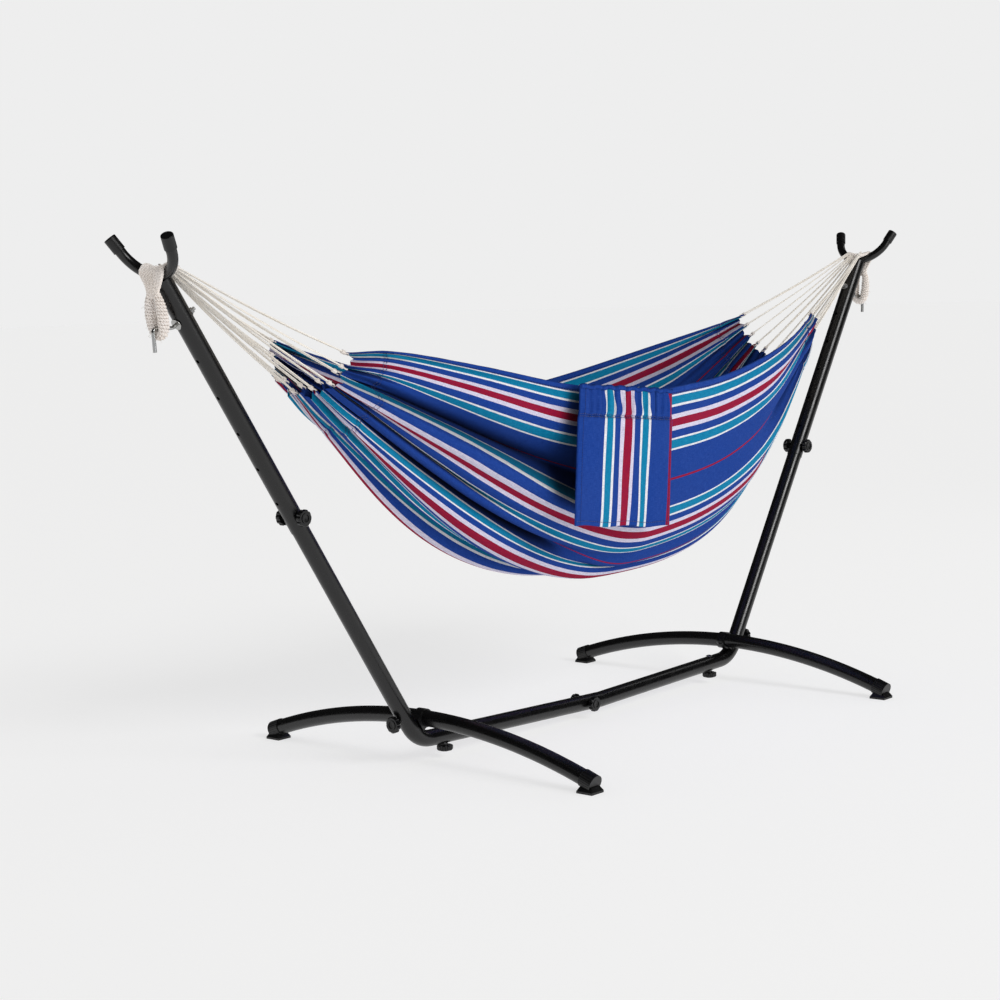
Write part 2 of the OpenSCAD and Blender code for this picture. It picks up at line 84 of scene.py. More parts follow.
# ---------------------------------------------------------------- node helpers
class Nodes:
    """A short way to build a material's node tree."""

    def __init__(self, name):
        self.mat = bpy.data.materials.new(name)
        self.mat.use_nodes = True
        self.tree = self.mat.node_tree
        self.tree.nodes.clear()
        self.out = self.add("ShaderNodeOutputMaterial")
        self.bsdf = self.add("ShaderNodeBsdfPrincipled")
        self.link(self.bsdf.outputs[0], self.out.inputs[0])

    def add(self, kind, **props):
        node = self.tree.nodes.new(kind)
        for key, value in props.items():
            setattr(node, key, value)
        return node

    def link(self, a, b):
        self.tree.links.new(a, b)

    def put(self, socket, value):
        if hasattr(value, "links"):
            self.link(value, socket)
        else:
            socket.default_value = value

    def math(self, op, a, b=0.0):
        node = self.add("ShaderNodeMath", operation=op)
        self.put(node.inputs[0], a)
        self.put(node.inputs[1], b)
        return node.outputs[0]

    def noise(self, vector, scale, detail=3.0):
        node = self.add("ShaderNodeTexNoise")
        self.link(vector, node.inputs["Vector"])
        node.inputs["Scale"].default_value = scale
        node.inputs["Detail"].default_value = detail
        node.inputs["Roughness"].default_value = 0.55
        return node.outputs[0]

    def spread(self, value, low, high, from_low=0.3, from_high=0.7):
        node = self.add("ShaderNodeMapRange")
        self.put(node.inputs[0], value)
        for i, v in enumerate((from_low, from_high, low, high)):
            node.inputs[i + 1].default_value = v
        return node.outputs[0]

    def mix(self, factor, a, b, blend="MIX"):
        node = self.add("ShaderNodeMix", data_type="RGBA", blend_type=blend)
        self.put(node.inputs[0], factor)
        self.put(node.inputs[6], a)
        self.put(node.inputs[7], b)
        return node.outputs[2]

    def bump(self, height, distance, strength):
        node = self.add("ShaderNodeBump")
        node.inputs["Strength"].default_value = strength
        node.inputs["Distance"].default_value = distance
        self.link(height, node.inputs["Height"])
        return node.outputs[0]

    def place(self, kind="Object"):
        return self.add("ShaderNodeTexCoord").outputs[kind]

    def uv(self):
        return self.add("ShaderNodeUVMap", uv_map="cloth").outputs[0]

    def stretch(self, vector, scale):
        node = self.add("ShaderNodeMapping")
        self.link(vector, node.inputs[0])
        node.inputs["Scale"].default_value = scale
        return node.outputs[0]


def srgb(r, g, b):
    def one(c):
        c /= 255.0
        return c / 12.92 if c <= 0.04045 else ((c + 0.055) / 1.055) ** 2.4
    return (one(r), one(g), one(b), 1.0)


def coated(name, base, rough, grain, depth, specular):
    """Paint or moulded plastic: fine grain, uneven gloss and a little dust."""
    n = Nodes(name)
    at = n.place()
    broad = n.noise(at, 9.0, 3.0)
    fine = n.noise(at, grain, 2.0)
    dusty = [min(1.0, c * 1.8 + 0.001) for c in base[:3]] + [1.0]
    shade = n.mix(n.spread(broad, 0.0, 0.25), base, dusty)
    n.link(shade, n.bsdf.inputs["Base Color"])
    n.put(n.bsdf.inputs["Roughness"], n.spread(n.noise(at, 35.0, 4.0), rough - 0.05, rough + 0.07))
    n.bsdf.inputs["Specular IOR Level"].default_value = specular
    n.link(n.bump(fine, depth, 0.6), n.bsdf.inputs["Normal"])
    return n.mat


def metal(name, base, rough):
    """Bright zinc plating: drawn streaks and a faint warm tarnish."""
    n = Nodes(name)
    at = n.place()
    streaks = n.noise(n.stretch(at, (60.0, 60.0, 600.0)), 1.0, 4.0)
    tarnish = (base[0] * 0.82, base[1] * 0.8, base[2] * 0.72, 1.0)
    tint = n.mix(n.spread(n.noise(at, 40.0), 0.0, 1.0), base, tarnish)
    n.link(tint, n.bsdf.inputs["Base Color"])
    n.bsdf.inputs["Metallic"].default_value = 1.0
    n.put(n.bsdf.inputs["Roughness"], n.spread(streaks, rough - 0.07, rough + 0.1))
    n.link(n.bump(streaks, 0.00006, 0.5), n.bsdf.inputs["Normal"])
    return n.mat


def rope_material(name, base, groove_shade_and_soil, pitch):
    """Twisted cotton: a slanting ply drawn from the rope's own length and girth, with painted shade along its
    grooves, fuzz and soiling.
    """
    n = Nodes(name)
    uv = n.uv()
    split = n.add("ShaderNodeSeparateXYZ")
    n.link(uv, split.inputs[0])
    turn = n.math("ADD", n.math("MULTIPLY", split.outputs[0], 1.0 / pitch),
                  n.math("MULTIPLY", split.outputs[1], 2.0))
    ply = n.math("ABSOLUTE", n.math("SINE", n.math("MULTIPLY", turn, math.pi)))
    at = n.place()
    fuzz = n.noise(at, 900.0, 3.0)
    wear = n.noise(at, 28.0, 4.0)
    # painted shade: the slanting grooves of the ply are darkened towards the second colour; the next line
    # adds soiling from noise
    tone = n.mix(n.spread(ply, 0.55, 0.0, 0.0, 0.55), base, groove_shade_and_soil)
    tone = n.mix(n.spread(wear, 0.0, 0.35), tone, (groove_shade_and_soil[0] * 1.15, groove_shade_and_soil[1] * 1.1, groove_shade_and_soil[2], 1.0))
    n.link(tone, n.bsdf.inputs["Base Color"])
    n.bsdf.inputs["Roughness"].default_value = 0.9
    n.bsdf.inputs["Specular IOR Level"].default_value = 0.15
    n.bsdf.inputs["Sheen Weight"].default_value = 0.25
    height = n.math("ADD", n.math("MULTIPLY", ply, 0.8), n.math("MULTIPLY", fuzz, 0.4))
    n.link(n.bump(height, 0.0006, 0.7), n.bsdf.inputs["Normal"])
    return n.mat


BLUE = srgb(26, 68, 155)
TEAL = srgb(0, 138, 180)
WHITE = srgb(252, 252, 255)
LILAC = srgb(234, 228, 248)
RED = srgb(164, 9, 32)

# the stripes' widths, counted in units of UNIT metres
UNIT = 0.000552
GROUP = [(WHITE, 9), (TEAL, 37), (WHITE, 9), (BLUE, 33), (LILAC, 19), (RED, 35), (LILAC, 19), (BLUE, 33),
         (WHITE, 9), (TEAL, 38), (WHITE, 9)]
PERIOD = [(BLUE, 128)] + GROUP + [(BLUE, 128), (RED, 12)]


def cloth_material(name, bands, period, offset, across):
    """Woven stripes in the cloth's own coordinates, in metres; with across they follow one another in y."""
    n = Nodes(name)
    uv = n.uv()
    split = n.add("ShaderNodeSeparateXYZ")
    n.link(uv, split.inputs[0])
    along, over = (split.outputs[0], split.outputs[1]) if across else (split.outputs[1], split.outputs[0])
    slow = (9.0, 400.0, 1.0) if across else (400.0, 9.0, 1.0)
    wander = n.math("MULTIPLY", n.math("SUBTRACT", n.noise(n.stretch(uv, slow), 1.0, 2.0), 0.5), 0.0022)
    where = n.math("FRACT", n.math("DIVIDE", n.math("ADD", n.math("ADD", over, wander), offset), period))
    ramp = n.add("ShaderNodeValToRGB")
    ramp.color_ramp.interpolation = "CONSTANT"
    total = float(sum(w for _, w in bands))
    done = 0.0
    marks = ramp.color_ramp.elements
    while len(marks) > 1:
        marks.remove(marks[-1])
    for i, (colour, width) in enumerate(bands):
        mark = marks[0] if i == 0 else marks.new(done / total)
        mark.position = done / total
        mark.color = colour
        done += width
    n.link(where, ramp.inputs[0])
    warp = n.math("SINE", n.math("MULTIPLY", over, 2.0 * math.pi / 0.0016))
    weft = n.math("SINE", n.math("MULTIPLY", along, 2.0 * math.pi / 0.0018))
    weave = n.math("MULTIPLY", warp, weft)
    thread = n.noise(n.stretch(uv, (55.0, 1500.0, 1.0) if across else (1500.0, 55.0, 1.0)), 1.0, 3.0)
    cross = n.noise(n.stretch(uv, (1300.0, 70.0, 1.0) if across else (70.0, 1300.0, 1.0)), 1.0, 3.0)
    slub = n.math("ADD", n.math("MULTIPLY", thread, 0.5), n.math("MULTIPLY", cross, 0.5))
    tone = n.mix(n.spread(slub, 0.50, 0.0, 0.36, 0.6), ramp.outputs[0], (0.006, 0.014, 0.11, 1.0))
    tone = n.mix(n.spread(slub, 0.0, 0.035, 0.5, 0.68), tone, (0.55, 0.62, 0.95, 1.0))
    worn = n.noise(n.place(), 6.0, 4.0)
    tone = n.mix(n.spread(worn, 0.0, 0.012), tone, (0.4, 0.5, 0.8, 1.0))
    # painted shade: the base colour is darkened in folds and hollows, where ambient occlusion finds nearby
    # cloth, and on faces that point up, mostly the cloth's inner side, whichever way they are seen
    painted_fold_shade = n.add("ShaderNodeAmbientOcclusion", samples=8)
    painted_fold_shade.inputs["Distance"].default_value = 0.32
    shade = n.spread(painted_fold_shade.outputs["AO"], 0.26, 1.0, 0.20, 0.82)
    painted_shade_normal = n.add("ShaderNodeSeparateXYZ")
    n.link(n.place("Normal"), painted_shade_normal.inputs[0])
    shade = n.math("MULTIPLY", shade, n.spread(painted_shade_normal.outputs[2], 1.0, 0.62, 0.0, 0.45))
    tone = n.mix(1.0, tone, shade, "MULTIPLY")
    n.link(tone, n.bsdf.inputs["Base Color"])
    n.bsdf.inputs["Roughness"].default_value = 0.92
    n.bsdf.inputs["Specular IOR Level"].default_value = 0.06
    n.bsdf.inputs["Sheen Weight"].default_value = 0.01
    n.bsdf.inputs["Sheen Roughness"].default_value = 0.5
    height = n.math("ADD", n.math("MULTIPLY", weave, 0.35), n.math("MULTIPLY", slub, 0.9))
    n.link(n.bump(height, 0.0005, 0.8), n.bsdf.inputs["Normal"])
    return n.mat


def thread_material(name, base):
    n = Nodes(name)
    at = n.place()
    tone = n.mix(n.spread(n.noise(at, 700.0, 2.0), 0.0, 0.5), base, [c * 0.55 for c in base[:3]] + [1.0])
    n.link(tone, n.bsdf.inputs["Base Color"])
    n.bsdf.inputs["Roughness"].default_value = 0.75
    n.bsdf.inputs["Sheen Weight"].default_value = 0.2
    n.link(n.bump(n.noise(at, 2500.0, 2.0), 0.0002, 0.6), n.bsdf.inputs["Normal"])
    return n.mat


POWDER = coated("powder_coat", (0.0020, 0.0019, 0.0021, 1.0), 0.25, 1300.0, 0.00003, 0.50)
CAP = coated("cap_plastic", (0.0022, 0.0022, 0.0025, 1.0), 0.34, 700.0, 0.00008, 0.45)
KNOB = coated("knob_plastic", (0.0022, 0.0022, 0.0026, 1.0), 0.26, 500.0, 0.00006, 0.42)
ZINC = metal("zinc_steel", (0.50, 0.51, 0.53, 1.0), 0.27)
# the second colour of each rope is both its painted groove shade and its soiling
ROPE = rope_material("rope", srgb(246, 240, 236), srgb(206, 194, 184), 0.0042)
CORD = rope_material("cord", srgb(252, 248, 242), srgb(224, 215, 202), 0.0034)
CLOTH = cloth_material("striped_cloth", PERIOD, sum(w for _, w in PERIOD) * UNIT, 98.0 * UNIT, True)
POCKET_BANDS = [(BLUE, 118), (WHITE, 12), (TEAL, 33), (WHITE, 12), (BLUE, 32), (LILAC, 18), (RED, 35),
                (LILAC, 14), (BLUE, 38), (WHITE, 12), (TEAL, 31), (WHITE, 11), (BLUE, 107), (RED, 22),
                (BLUE, 5)]
POCKET_STRIPES = 0.375
POCKET_CLOTH = cloth_material("pocket_cloth", POCKET_BANDS, POCKET_STRIPES, 0.0, False)
THREAD = thread_material("stitch_thread", srgb(36, 52, 128))


# ---------------------------------------------------------------- mesh helpers
def make_mesh(name, verts, faces, material, uv=None, smooth=True):
    mesh = bpy.data.meshes.new(name)
    mesh.from_pydata([tuple(v) for v in verts], [], [tuple(f) for f in faces])
    mesh.update()
    if uv is not None:
        layer = mesh.uv_layers.new(name="cloth")
        index = np.empty(len(mesh.loops), dtype=np.int32)
        mesh.loops.foreach_get("vertex_index", index)
        layer.data.foreach_set("uv", np.asarray(uv, dtype=np.float32)[index].ravel())
    if smooth:
        mesh.polygons.foreach_set("use_smooth", [True] * len(mesh.polygons))
    mesh.materials.append(material)
    obj = bpy.data.objects.new(name, mesh)
    bpy.context.scene.collection.objects.link(obj)
    return obj


def frames_along(path):
    """Tangents and two steady cross directions at each point of a path."""
    path = np.asarray(path, float)
    tang = np.gradient(path, axis=0)
    tang /= np.linalg.norm(tang, axis=1)[:, None]
    ref = np.array([0.0, 0.0, 1.0]) if abs(tang[0][2]) < 0.8 else np.array([1.0, 0.0, 0.0])
    side = np.zeros_like(path)
    s = np.cross(tang[0], ref)
    for i, t in enumerate(tang):
        s = s - np.dot(s, t) * t
        s /= np.linalg.norm(s)
        side[i] = s
    return tang, side, np.cross(tang, side)


class Soup:
    """Gathers tubes and patches that belong to one piece."""

    def __init__(self):
        self.verts, self.faces, self.uv = [], [], []

    def tube(self, path, radius, sides, caps=True):
        path = np.asarray(path, float)
        n = len(path)
        radius = np.broadcast_to(np.asarray(radius, float), (n,))
        _, a, b = frames_along(path)
        run = np.concatenate([[0.0], np.cumsum(np.linalg.norm(np.diff(path, axis=0), axis=1))])
        base = len(self.verts)
        ang = np.linspace(0.0, 2.0 * math.pi, sides, endpoint=False)
        for i in range(n):
            for k, t in enumerate(ang):
                self.verts.append(path[i] + radius[i] * (math.cos(t) * a[i] + math.sin(t) * b[i]))
                self.uv.append((run[i], abs(2.0 * k / sides - 1.0)))
        for i in range(n - 1):
            for k in range(sides):
                k2 = (k + 1) % sides
                p, q = base + i * sides, base + (i + 1) * sides
                self.faces.append((p + k, p + k2, q + k2, q + k))
        if caps:
            self.faces.append(tuple(base + k for k in reversed(range(sides))))
            self.faces.append(tuple(base + (n - 1) * sides + k for k in range(sides)))

    def twisted(self, path, lay, strand, count, pitch, phase, sides, step):
        """Several strands laid round one path."""
        path = resample(path, step)
        _, a, b = frames_along(path)
        run = np.concatenate([[0.0], np.cumsum(np.linalg.norm(np.diff(path, axis=0), axis=1))])
        for k in range(count):
            t = phase + 2.0 * math.pi * (k / count + run / pitch)
            self.tube(path + lay * (np.cos(t)[:, None] * a + np.sin(t)[:, None] * b), strand, sides)

    def object(self, name, material):
        return make_mesh(name, self.verts, self.faces, material, self.uv)


def resample(path, step):
    path = np.asarray(path, float)
    run = np.concatenate([[0.0], np.cumsum(np.linalg.norm(np.diff(path, axis=0), axis=1))])
    count = max(4, int(run[-1] / step) + 1)
    at = np.linspace(0.0, run[-1], count)
    return np.stack([np.interp(at, run, path[:, i]) for i in range(3)], axis=1)


def smooth_path(points, count):
    """A Catmull-Rom curve through the points."""
    p = np.asarray(points, float)
    p = np.vstack([2 * p[0] - p[1], p, 2 * p[-1] - p[-2]])
    out = []
    spans = len(p) - 3
    for i in range(spans):
        for t in np.linspace(0.0, 1.0, max(2, count // spans), endpoint=(i == spans - 1)):
            a, b, c, d = p[i:i + 4]
            out.append(0.5 * (2 * b + (c - a) * t + (2 * a - 5 * b + 4 * c - d) * t * t
                              + (3 * b - a - 3 * c + d) * t ** 3))
    return np.array(out)


def flip(points, s):
    p = np.array(points, float)
    p[..., 0] *= s
    return p


# ---------------------------------------------------------------- bed
BED_LO, BED_HI = (np.array(v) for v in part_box("hammock_bed"))
HALF = 0.930
LOW_X = 0.030
LOW_Z = float(BED_LO[2])
END_Z = float(BED_HI[2])
HALF_W = float(BED_HI[1])
SELVAGE_Z = 0.839
END_W, END_LOW_Z, BOW, POWER = 0.142, 0.862, 0.025, 0.91
CLOTH_W, CLOTH_L = 1.60, 2.05
CLOTH_THICK = 0.0012
BED_U, BED_V = 380, 620
# one scallop for each space between two cords, and where the stitched line of the end casing lies
SCALLOPS = 12
CASING = 0.086
MID_FOLDS, FINE_FOLDS = 10.3, 23.7
# the stripe repeat and the middle of a plain blue band, as shares of the cloth's width
STRIPE_STEP, PLAIN_BLUE = 0.1787, 0.143


def bed_u(x):
    return np.where(x < LOW_X, (LOW_X - x) / (LOW_X + HALF), (x - LOW_X) / (HALF - LOW_X))


def half_w(x):
    return HALF_W + (END_W - HALF_W) * bed_u(x) ** 2.4


def top_z(x):
    return SELVAGE_Z + (END_Z - SELVAGE_Z) * bed_u(x) ** 1.38


def low_z(x):
    return LOW_Z + (END_LOW_Z - LOW_Z) * bed_u(x) ** np.where(x < LOW_X, 2.3, 2.9)


def section(x, v):
    """The bed's section at x: y and z for v from -1 to 1."""
    a = np.abs(v) * math.pi / 2
    y = np.sign(v) * half_w(x) * np.sin(a) ** POWER
    z = low_z(x) + (top_z(x) - low_z(x)) * (1.0 - np.maximum(0.0, np.cos(a)) ** POWER)
    return y, z


def bump_at(x, centre, width):
    return np.exp(-((x - centre) / width) ** 2)


def build_bed():
    """The cloth as a grid, with folds in families that each fade in and out along its length."""
    rng = np.random.default_rng(11)
    ph = rng.uniform(0.0, 2.0 * math.pi, 16)
    dense = np.linspace(-1.0, 1.0, 801)
    s = np.linspace(-1.0, 1.0, BED_U + 1)
    xs = HALF * np.sign(s) * (1.0 - (1.0 - np.abs(s)) ** 1.15)
    w = np.linspace(0.0, 1.0, BED_V + 1)
    centre = 2.0 * w - 1.0
    tau = 2.0 * math.pi
    kernel = np.ones(31) / 31.0
    keep = 1.0 - np.abs(centre) ** 8
    belly = np.exp(-(centre / 0.42) ** 4)
    near = np.exp(-((centre + 1.0) / 0.42) ** 2)
    grid = np.zeros((BED_U + 1, BED_V + 1, 3))
    for i, x in enumerate(xs):
        y, z = section(np.array(x), dense)
        run = np.concatenate([[0.0], np.cumsum(np.hypot(np.diff(y), np.diff(z)))])
        length = run[-1]
        u = float(bed_u(np.array(x)))
        d_end = HALF - abs(x)
        left = 1.0 / (1.0 + math.exp((x - 0.02) / 0.07))
        right = 1 - left
        # flat near the selvages at mid-length, with the spare width gathered low; even at the ends
        edge = 0.27
        arc_edge = min(0.43, edge * CLOTH_W / length)
        lay = np.interp(w, [0.0, edge, 0.5, 1.0 - edge, 1.0], [0.0, arc_edge, 0.5, 1.0 - arc_edge, 1.0])
        padded = np.concatenate([2 * lay[0] - lay[15:0:-1], lay, 2 * lay[-1] - lay[-2:-17:-1]])
        lay = np.convolve(padded, kernel, mode="valid")
        share = (1.0 - u * u) ** (1.9 + 3.1 * left)
        arc = (lay * share + w * (1.0 - share)) * length
        # how deep each family is here
        scallop = 0.0088 * math.exp(-d_end / 0.20)
        mid_wave = length / MID_FOLDS
        mid_reach = 0.66 * left + 0.26 * right
        mid_fade = (math.exp(-((d_end - 0.08) / mid_reach) ** 4)
                    * (1.0 - math.exp(-((d_end + 0.05) / 0.13) ** 2)))
        mid = mid_wave * (0.21 * left + 0.12 * right) * mid_fade
        broad_wave = length / 5.2
        broad_reach = 0.40 * left + 0.22 * right
        broad_fade = math.exp(-((d_end - 0.34 * left - 0.28 * right) / broad_reach) ** 2)
        broad = broad_wave * (0.205 * left + 0.045 * right) * broad_fade
        low = 0.0115 * (1.0 - u * u) ** 1.5
        hem = 0.0040 * math.exp(-(d_end / 0.115) ** 2)
        fine_reach = 0.40 * left + 0.18 * right
        fine_fade = math.exp(-((d_end - 0.18) / fine_reach) ** 2)
        fine = length / FINE_FOLDS * (0.23 * left + 0.17 * right) * fine_fade
        fine = fine * (0.65 + 0.35 * np.sin(tau * 4.3 * w + ph[14] - 0.9 * x))
        vary = 0.70 + 0.30 * np.sin(tau * 2.6 * w + ph[11] + 0.8 * x)
        # how far round its wave each family is, over the width
        scallop_turn = tau * SCALLOPS * w
        mid_turn = (tau * MID_FOLDS * w + ph[1] + 0.9 * np.sin(tau * 1.7 * w + ph[2] + 1.2 * x)
                    + 0.25 * np.sin(5.0 * x + ph[10]))
        # the broad folds follow the stripes: the plain blue bands lie in their valleys
        broad_turn = (tau * (w - PLAIN_BLUE) / STRIPE_STEP + 0.22 * np.sin(tau * 1.3 * w + ph[4])
                      + 0.25 * math.sin(2.1 * x + 0.6))
        low_turn = tau * 11.0 * w + ph[5] + 0.5 * math.sin(3.0 * x + ph[6])
        hem_turn = tau * 41 * w + ph[7] + 1.3 * np.sin(tau * 5 * w + ph[8])
        fine_turn = tau * FINE_FOLDS * w + ph[12] + 1.6 * np.sin(tau * 3.1 * w + ph[13] + 1.1 * x)
        folds = (scallop * np.cos(scallop_turn)
                 + (mid * vary * np.cos(mid_turn) + broad * np.cos(broad_turn)) * keep
                 + fine * keep * np.cos(fine_turn) + low * belly * np.cos(low_turn) + hem * np.sin(hem_turn))
        # the folds lie inside the hanging line, which is their outer envelope
        lift = (folds + 0.85 * (scallop + (mid * vary + broad + 0.6 * fine) * keep + hem)
                + (0.6 * low + 0.003) * belly + 0.012 * math.exp(-((d_end - 0.12) / 0.2) ** 2))
        slide = -(0.9 * length / SCALLOPS / tau * math.exp(-d_end / 0.15) * np.sin(scallop_turn)
                  + (0.55 * mid_wave / tau * (0.35 + 0.65 * left) * mid_fade * vary * np.sin(mid_turn)
                     + 0.80 * broad_wave / tau * (0.3 + 0.7 * left) * broad_fade * np.sin(broad_turn)
                     + 0.6 * fine * np.sin(fine_turn)) * keep
                  + 1.1 * low * belly * np.sin(low_turn) + 0.5 * hem * np.sin(hem_turn + 1.2))
        # the stitched line that closes the end casing pulls the cloth in
        lift = (lift + 0.0032 * bump_at(d_end, CASING, 0.006) - 0.0022 * bump_at(d_end, 0.045, 0.03)
                + 0.0011 * np.sin(tau * 67 * w + ph[9]) * bump_at(d_end, CASING, 0.03))
        place = np.clip(arc + slide * (1.0 - 0.7 * np.abs(centre) ** 6), 0.0, length)
        near_by = 0.004
        ty = np.interp(place + near_by, run, y) - np.interp(place - near_by, run, y)
        tz = np.interp(place + near_by, run, z) - np.interp(place - near_by, run, z)
        size = np.hypot(ty, tz) + 1e-9
        v = np.interp(place, run, dense)
        reach = BOW * (1.0 - v * v) * (abs(x) / HALF) ** 8
        at_end = math.exp(-d_end / 0.030)
        tooth = 0.0045 * (0.5 + 0.5 * np.cos(scallop_turn)) * at_end
        pull = 0.026 * (1.0 - left) * (abs(x) / HALF) ** 6
        grid[i, :, 0] = x + (-1.0 if x < 0 else 1.0) * (reach + tooth - 0.002 * at_end - pull)
        grid[i, :, 1] = np.interp(place, run, y) - lift * tz / size
        grid[i, :, 2] = np.interp(place, run, z) + lift * ty / size
        # the near corner droops at the left end, and the near selvage rises and dips at the pocket
        droop = -0.027 * left * math.exp(-(d_end / 0.075) ** 1.4)
        rise = 0.009 * bump_at(x, 0.06, 0.14)
        dip = 0.007 * bump_at(x, -0.36, 0.16)
        grid[i, :, 2] += near * (droop + rise - dip)
    return xs, w, grid


def bed_object():
    xs, w, grid = build_bed()
    nu, nv = BED_U + 1, BED_V + 1
    # the cloth's own length from its left end, the mean of all its thread lines
    steps = np.linalg.norm(np.diff(grid, axis=0), axis=2)
    run = np.concatenate([np.zeros((1, nv)), np.cumsum(steps, axis=0)]).mean(axis=1)
    uv = np.zeros((nu, nv, 2))
    uv[:, :, 0] = run[:, None]
    uv[:, :, 1] = w[None, :] * CLOTH_W
    faces = []
    for i in range(nu - 1):
        for j in range(nv - 1):
            a = i * nv + j
            faces.append((a, a + 1, a + nv + 1, a + nv))
    bed = make_mesh("bed_cloth", grid.reshape(-1, 3), faces, CLOTH, uv.reshape(-1, 2))
    solid = bed.modifiers.new("thickness", "SOLIDIFY")
    solid.thickness = CLOTH_THICK
    solid.offset = 0.0
    return bed, xs, w, grid


bed, BED_X, BED_W, GRID = bed_object()
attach(bed, "hammock")
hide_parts("hammock_bed")


def on_bed(x, w, off=0.0):
    """A point of the finished cloth, by its place along and across, moved by off towards the inside."""
    i = np.interp(x, BED_X, np.arange(len(BED_X)))
    j = np.interp(w, BED_W, np.arange(len(BED_W)))
    i0, j0 = int(min(i, len(BED_X) - 2)), int(min(j, len(BED_W) - 2))
    fi, fj = i - i0, j - j0
    g = GRID
    p = (g[i0, j0] * (1 - fi) * (1 - fj) + g[i0 + 1, j0] * fi * (1 - fj) + g[i0, j0 + 1] * (1 - fi) * fj
         + g[i0 + 1, j0 + 1] * fi * fj)
    if off:
        du = g[i0 + 1, j0] - g[i0, j0]
        dv = g[i0, j0 + 1] - g[i0, j0]
        nrm = np.cross(du, dv)
        p = p + off * nrm / (np.linalg.norm(nrm) + 1e-12)
    return p


# ---------------------------------------------------------------- selvage hems
def hem_strip(soup, rings):
    """A folded hem: rings of points round the cloth's edge, joined into one closed band."""
    rows = np.array(rings)
    n, m, _ = rows.shape
    base = len(soup.verts)
    for r in rows:
        for p in r:
            soup.verts.append(p)
    run = np.concatenate([[0.0], np.cumsum(np.linalg.norm(np.diff(rows[:, 0], axis=0), axis=1))])
    for i in range(n):
        for k in range(m):
            soup.uv.append((run[i], 0.03 * k / m))
    for i in range(n - 1):
        for k in range(m):
            k2 = (k + 1) % m
            a, b = base + i * m, base + (i + 1) * m
            soup.faces.append((a + k, a + k2, b + k2, b + k))
    soup.faces.append(tuple(base + k for k in reversed(range(m))))
    soup.faces.append(tuple(base + (n - 1) * m + k for k in range(m)))


def selvage_hems():
    soup = Soup()
    for side, w_edge, w_inner in ((0, 0.0, 0.0085), (1, 1.0, 0.9915)):
        rows = []
        for x in np.linspace(BED_X[0] + 0.001, BED_X[-1] - 0.001, 300):
            edge = on_bed(x, w_edge)
            across = on_bed(x, w_inner) - edge
            along = on_bed(x + 0.004, w_edge) - on_bed(x - 0.004, w_edge)
            nrm = np.cross(along, across)
            nrm /= np.linalg.norm(nrm)
            t = 0.0017 * (1.0 + 0.25 * math.sin(95.0 * x + side) + 0.2 * math.sin(41.0 * x))
            ring = []
            for k in range(10):
                a = 2.0 * math.pi * k / 10
                c, sn = math.cos(a), math.sin(a)
                ring.append(edge + across * (0.46 - 0.58 * np.sign(c) * abs(c) ** 0.5)
                            + nrm * t * np.sign(sn) * abs(sn) ** 0.6)
            rows.append(ring)
        hem_strip(soup, rows)
    return soup.object("selvage_hems", HEM)


HEM = cloth_material("hem_cloth", [(BLUE, 100), (BLUE, 100)], 1.0, 0.0, True)
hems = selvage_hems()
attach(hems, "hammock")


def stitches(soup, line, length, gap, radius):
    """Running stitches laid along a line of points."""
    line = resample(line, 0.0012)
    run = np.concatenate([[0.0], np.cumsum(np.linalg.norm(np.diff(line, axis=0), axis=1))])
    at = 0.0
    while at + length < run[-1]:
        t = np.linspace(at, at + length, 3)
        soup.tube(np.stack([np.interp(t, run, line[:, i]) for i in range(3)], axis=1), radius, 4)
        at += length + gap


def bed_stitching():
    soup = Soup()
    length, gap, radius = 0.006, 0.003, 0.0006
    proud = 0.0012
    for x in (BED_X[0] + 0.082, BED_X[0] + 0.090, BED_X[-1] - 0.082, BED_X[-1] - 0.090):
        for off in (proud, -proud):
            line = [on_bed(x, w, off) for w in np.linspace(0.005, 0.995, 500)]
            stitches(soup, line, length, gap, radius)
    for w in (0.0094, 0.9906):
        for off in (-proud, proud):
            line = [on_bed(x, w, off) for x in np.linspace(BED_X[0], BED_X[-1], 500)]
            stitches(soup, line, length, gap, radius)
    return soup.object("bed_stitching", THREAD)


stitching = bed_stitching()
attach(stitching, "hammock")


